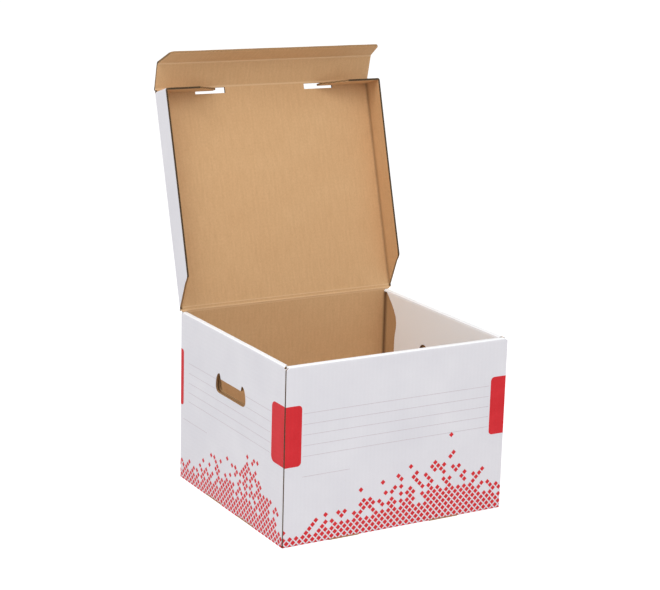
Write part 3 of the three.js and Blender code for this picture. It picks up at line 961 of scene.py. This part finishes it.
def print_shapes(name, face, shapes, material):
    """Flat ink shapes on a face, cut into the board's cells so that they follow its bow."""
    bm = bmesh.new()
    for outline in shapes:
        bm.faces.new([bm.verts.new((u, h, 0)) for u, h in outline])
    bisect(bm, X, face.low, clear_inner=True)
    bisect(bm, X, face.high, clear_outer=True)
    bisect(bm, Y, PRINT_FOOT, clear_inner=True)
    bisect(bm, Y, LOCK_MOUTH)
    for slot in face.slots:
        for end in (slot - LOCK_HALF, slot + LOCK_HALF):
            bisect(bm, X, end)
    in_slots = [f for f in bm.faces if f.calc_center_median().y < LOCK_MOUTH
                and any(abs(f.calc_center_median().x - slot) < LOCK_HALF for slot in face.slots)]
    bmesh.ops.delete(bm, geom=in_slots, context="FACES")
    arc = FOLD_RADIUS * math.pi / 2 / FOLD_STEPS
    for value in cut_positions(face.low, face.high):
        bisect(bm, X, value)
    for value in [FOLD_RADIUS, FOLD_RADIUS - arc, FOLD_RADIUS - 2 * arc] + cut_positions(0, TRAY_HEIGHT):
        bisect(bm, Y, value)
    uv = bm.loops.layers.uv.new("board")
    upright = face is FRONT or face is BACK
    for f in bm.faces:
        for loop in f.loops:
            u, h, _ = loop.vert.co
            loop[uv].uv = (u * MM + 0.2, h * MM) if upright else (h * MM + 0.2, u * MM)
    for vert in bm.verts:
        p = Vector(face.point(vert.co.x, vert.co.y))
        vert.co = (p + tray_warp_at(p)) * MM
    flip = np.cross(face.direction, (0, 0, 1)) @ face.normal < 0
    if flip:
        bmesh.ops.reverse_faces(bm, faces=bm.faces)
    mesh = bpy.data.meshes.new(name)
    bm.to_mesh(mesh)
    bm.free()
    mesh.materials.append(material)
    obj = bpy.data.objects.new(name, mesh)
    bpy.context.scene.collection.objects.link(obj)
    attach(obj, "tray")


def diamonds(face, skyline):
    """A lattice of small diamonds that is whole at the foot and thins out towards the skyline."""
    chance = random.Random(face.seed)
    shapes = []
    for row in range(ROWS):
        h = FIRST_ROW + row * ROW
        count = int((face.high - face.low) / PITCH) + 3
        for column in range(-1, count):
            u = face.low + (column + 0.5 * (row % 2)) * PITCH
            top = stretch(u, skyline)
            roll = chance.random()
            rise = h / top
            stray = 1.0 < rise < STRAY_RISE and roll > STRAY_CHANCE
            if not stray and (rise > 1.0 or roll < (rise - THIN_FROM) / THIN_OVER):
                continue
            shapes.append([(u - DIAMOND, h), (u, h - DIAMOND), (u + DIAMOND, h), (u, h + DIAMOND)])
    return shapes


def rounded(u0, u1, h0, h1, radius, corners):
    """A rectangle whose named corners (of 'bl', 'br', 'tr', 'tl') are rounded."""
    places = {"bl": (u0, h0, 180), "br": (u1, h0, 270), "tr": (u1, h1, 0), "tl": (u0, h1, 90)}
    points = []
    for key, (u, h, begin) in places.items():
        if key not in corners:
            points.append((u, h))
            continue
        cu = u + (radius if "l" in key else -radius)
        ch = h + (radius if "b" in key else -radius)
        for k in range(CORNER_STEPS + 1):
            a = math.radians(begin + 90 * k / CORNER_STEPS)
            points.append((cu + radius * math.cos(a), ch + radius * math.sin(a)))
    return points


def rule(u0, u1, h):
    """A thin writing line."""
    return [(u0, h - LINE), (u1, h - LINE), (u1, h + LINE), (u0, h + LINE)]


def patch(edge, inner, radius):
    """A patch from a wall's edge to inner, where its two corners are rounded."""
    corners = ("br", "tr") if edge < inner else ("bl", "tl")
    return rounded(min(edge, inner), max(edge, inner), PATCH_LOW, PATCH_HIGH, radius, corners)


front_patches = [patch(-HALF_WIDTH, -157.5, 6), patch(HALF_WIDTH, 157.5, 6)]
side_patches = [patch(SIDE_PRINT_END, 125, 9), patch(-HALF_DEPTH, -155.5, 5)]
back_patches = [patch(-BACK_PRINT_END, -152, 6), patch(BACK_PRINT_END, 152, 6)]
front_rules = [rule(-FRONT_RULE_END, FRONT_RULE_END, h) for h in FRONT_RULE_HEIGHTS]
front_rules.append(rule(*FRONT_SHORT_RULE))
side_rules = [rule(*SIDE_RULE_ENDS, h) for h in SIDE_RULE_HEIGHTS]
side_rules.append(rule(*SIDE_SHORT_RULE))
for height in HOLE_RULE_HEIGHTS:
    side_rules.append(rule(SIDE_RULE_ENDS[0], HOLE_ENDS[0], height))
    side_rules.append(rule(HOLE_ENDS[1], SIDE_RULE_ENDS[1], height))

for key, face, skyline, patches, rules in (
        ("front", FRONT, FRONT_SKYLINE, front_patches, front_rules),
        ("left", LEFT, SIDE_SKYLINE, side_patches, side_rules),
        ("right", RIGHT, SIDE_SKYLINE, side_patches, side_rules),
        ("back", BACK, FRONT_SKYLINE, back_patches, front_rules)):
    print_shapes(f"{key}_diamonds", face, diamonds(face, skyline), RED)
    print_shapes(f"{key}_patches", face, patches, RED)
    print_shapes(f"{key}_rules", face, rules, GREY)


# Lock tabs that show in the slots

def lock_end(name, axis, sign, along):
    """The cut end of a lock tab, nearly flush with the wall at the slot in its foot."""
    depth = HALF_DEPTH if axis == Y else HALF_WIDTH
    low, high = depth - LOCK_DEPTH, depth - LOCK_SET_BACK
    half = LOCK_HALF - LOCK_PLAY
    foot, middle, top = 0.3, 1.7, 3.2
    worn = 0.35
    bm = bmesh.new()
    uv = bm.loops.layers.uv.new("board")
    wave = bm.loops.layers.float.new("wave")
    pale = bm.loops.layers.float.new("pale")
    count = 12
    rows = []
    for i in range(count + 1):
        run = along - half + 2 * half * i / count
        fray = LOCK_FRAY * ripple(run, depth, 7, 9.1)
        ring = [(low, foot), (high + fray, foot + abs(fray)), (high + fray - 0.1, middle),
                (high - worn, top), (low, top)]
        rows.append([])
        for out, up in ring:
            p = [0.0, 0.0, up]
            p[axis] = out * sign
            p[1 - axis] = run
            rows[-1].append(bm.verts.new(Vector(p) * MM))
    for a, b in zip(rows, rows[1:]):
        for k in range(len(a) - 1):
            face = bm.faces.new([a[k], a[k + 1], b[k + 1], b[k]])
            face.material_index = ON_CUT
            for loop in face.loops:
                loop[uv].uv = (loop.vert.co[1 - axis], min(1.0, loop.vert.co.z / MM / top))
                loop[wave] = 1.0
                # Painted light: most of the lock tab end's painted hollow shade is filled with pulp colour.
                loop[pale] = LOCK_PAINTED_LIGHT
    for line in (rows[0], rows[-1]):
        bm.faces.new(line).material_index = ON_CUT
    bmesh.ops.recalc_face_normals(bm, faces=bm.faces)
    publish(bm, name, "tray")


for wall, axis, sign, slots in (
        ("front", Y, -1, FRONT_SLOTS), ("left", X, -1, SIDE_SLOTS), ("right", X, 1, SIDE_SLOTS)):
    for slot in slots:
        lock_end(f"{wall}_lock_end_{'a' if slot < 0 else 'b'}", axis, sign, slot)


# Creases of the flaps

crease(
    "front_flap_crease_strip", LID_PLACE.child(0, (0, -LID_REACH, -PIVOT_DROP)),
    FLAP_BEND, LID_STRIP, FLAP_STRIP, CREASE_IN, CREASE_OUT, LID_HALF, FLAP_HALF)
crease(
    "tuck_flap_crease_strip", FLAP_PLACE.child(0, (0, -FLAP_LENGTH, 0)),
    TUCK_BEND, FLAP_STRIP, FLAP_STRIP, CREASE_IN, CREASE_OUT, FLAP_HALF, TUCK_HALF)


# Floor, light and camera

def floor():
    """A pale floor that takes the shadow and looks white to the camera."""
    bpy.ops.mesh.primitive_plane_add(size=30, location=(0, 0, -0.0002))
    obj = bpy.context.object
    obj.name = "floor"
    material = bpy.data.materials.new("floor")
    material.use_nodes = True
    nodes, links = material.node_tree.nodes, material.node_tree.links
    nodes.clear()
    output = nodes.new("ShaderNodeOutputMaterial")
    diffuse = nodes.new("ShaderNodeBsdfDiffuse")
    diffuse.inputs[0].default_value = FLOOR_COLOUR
    glow = nodes.new("ShaderNodeEmission")
    glow.inputs[0].default_value = (1, 1, 1, 1)
    path = nodes.new("ShaderNodeLightPath")
    seen = nodes.new("ShaderNodeMath")
    seen.operation = "MAXIMUM"
    links.new(path.outputs["Is Camera Ray"], seen.inputs[0])
    links.new(path.outputs["Is Glossy Ray"], seen.inputs[1])
    strength = nodes.new("ShaderNodeMath")
    strength.operation = "MULTIPLY"
    strength.inputs[1].default_value = FLOOR_GLOW
    lit = nodes.new("ShaderNodeMath")
    lit.operation = "MAXIMUM"
    lit.inputs[1].default_value = FLOOR_GLOW_LEAST
    links.new(seen.outputs[0], lit.inputs[0])
    links.new(lit.outputs[0], strength.inputs[0])
    links.new(strength.outputs[0], glow.inputs[1])
    add = nodes.new("ShaderNodeAddShader")
    links.new(diffuse.outputs[0], add.inputs[0])
    links.new(glow.outputs[0], add.inputs[1])
    links.new(add.outputs[0], output.inputs[0])
    obj.data.materials.append(material)


def world():
    """Soft studio light, with white behind the box."""
    scene = bpy.context.scene
    scene.world = bpy.data.worlds.new("studio")
    scene.world.use_nodes = True
    nodes, links = scene.world.node_tree.nodes, scene.world.node_tree.links
    nodes.clear()
    output = nodes.new("ShaderNodeOutputWorld")
    light = nodes.new("ShaderNodeBackground")
    light.inputs[0].default_value = WORLD_COLOUR
    light.inputs[1].default_value = WORLD_STRENGTH
    white = nodes.new("ShaderNodeBackground")
    white.inputs[0].default_value = (1, 1, 1, 1)
    white.inputs[1].default_value = 1.0
    path = nodes.new("ShaderNodeLightPath")
    mix = nodes.new("ShaderNodeMixShader")
    links.new(path.outputs["Is Camera Ray"], mix.inputs[0])
    links.new(light.outputs[0], mix.inputs[1])
    links.new(white.outputs[0], mix.inputs[2])
    links.new(mix.outputs[0], output.inputs[0])


def area(name, location, size, power):
    """A square lamp that looks at the box."""
    data = bpy.data.lights.new(name, "AREA")
    data.shape = "SQUARE"
    data.size = size
    data.energy = power
    obj = bpy.data.objects.new(name, data)
    bpy.context.scene.collection.objects.link(obj)
    obj.location = location
    aim = Vector(LAMP_TARGET) - Vector(location)
    obj.rotation_euler = aim.to_track_quat("-Z", "Y").to_euler()


def camera():
    """The camera at the photograph's place, with its roll."""
    az, el, roll = [math.radians(k) for k in CAMERA_TURN]
    back = Vector((math.sin(az) * math.cos(el), -math.cos(az) * math.cos(el), math.sin(el)))
    right = (-back).cross(Vector((0, 0, 1))).normalized()
    up = right.cross(-back)
    c, s = math.cos(roll), math.sin(roll)
    rows = (right * c + up * s, -right * s + up * c, back)
    data = bpy.data.cameras.new("camera")
    data.sensor_width = SENSOR
    data.lens = CAMERA_FOCAL / IMAGE_WIDTH * SENSOR
    data.clip_start, data.clip_end = 0.05, 60
    obj = bpy.data.objects.new("camera", data)
    bpy.context.scene.collection.objects.link(obj)
    matrix = Matrix.Identity(4)
    for column, axis in enumerate(rows):
        for k in range(3):
            matrix[k][column] = axis[k]
    matrix.translation = Vector(CAMERA_PLACE) * MM
    obj.matrix_world = matrix
    bpy.context.scene.camera = obj


floor()
world()
for lamp in LAMPS:
    area(*lamp)
camera()
bpy.context.scene.view_settings.view_transform = "Standard"
